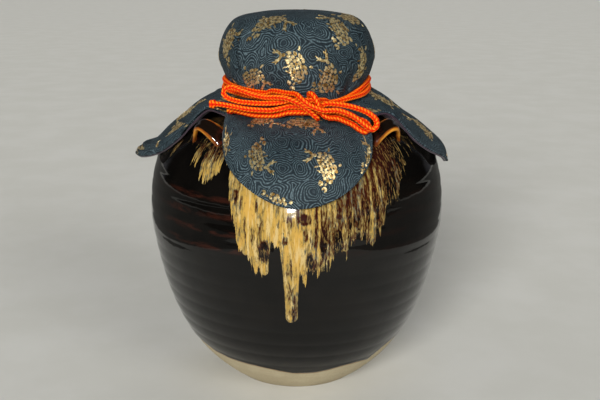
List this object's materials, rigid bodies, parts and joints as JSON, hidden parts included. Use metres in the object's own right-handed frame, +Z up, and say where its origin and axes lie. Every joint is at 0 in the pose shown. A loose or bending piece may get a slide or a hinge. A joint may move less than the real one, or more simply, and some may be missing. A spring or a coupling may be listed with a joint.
{
  "type": "tea storage jar",
  "caption": "Glazed stoneware tea storage jar with ears, a wooden lid and a lobed brocade cover tied round the neck with a braided cord.",
  "frame": {"origin": "centre of the jar's flat base", "axes": "+Z up along the jar's axis, -Y towards the front, where the bow is tied"},
  "size_m": [0.2777, 0.2662, 0.3265],
  "materials": {
    "glaze": "dark brown-black glossy ash glaze over buff stoneware",
    "lid_wood": "turned bare wood",
    "brocade": "dark blue figured silk with a wave ground and woven gold carp",
    "lining": "dark purple plain silk",
    "cotton": "cotton wadding",
    "cord_silk": "orange-red braided silk with lighter dots"
  },
  "bodies": {
    "jar": {"jar_body": "glaze", "ear_front_left": "glaze", "ear_front_right": "glaze", "ear_back_left": "glaze", "ear_back_right": "glaze"},
    "lid": {"mouth_lid": "lid_wood"},
    "cover": {"cover_brocade": "brocade", "cover_lining": "lining", "cover_wadding": "cotton", "tie_cord": "cord_silk"}
  },
  "joints": [
    {"name": "lid_lift", "type": "slide", "parent": "jar", "child": "lid", "axis": [0, 0, 1], "range_m": [0, 0.06]},
    {"name": "cover_lift", "type": "slide", "parent": "lid", "child": "cover", "axis": [0, 0, 1], "range_m": [0, 0.12]}
  ]
}
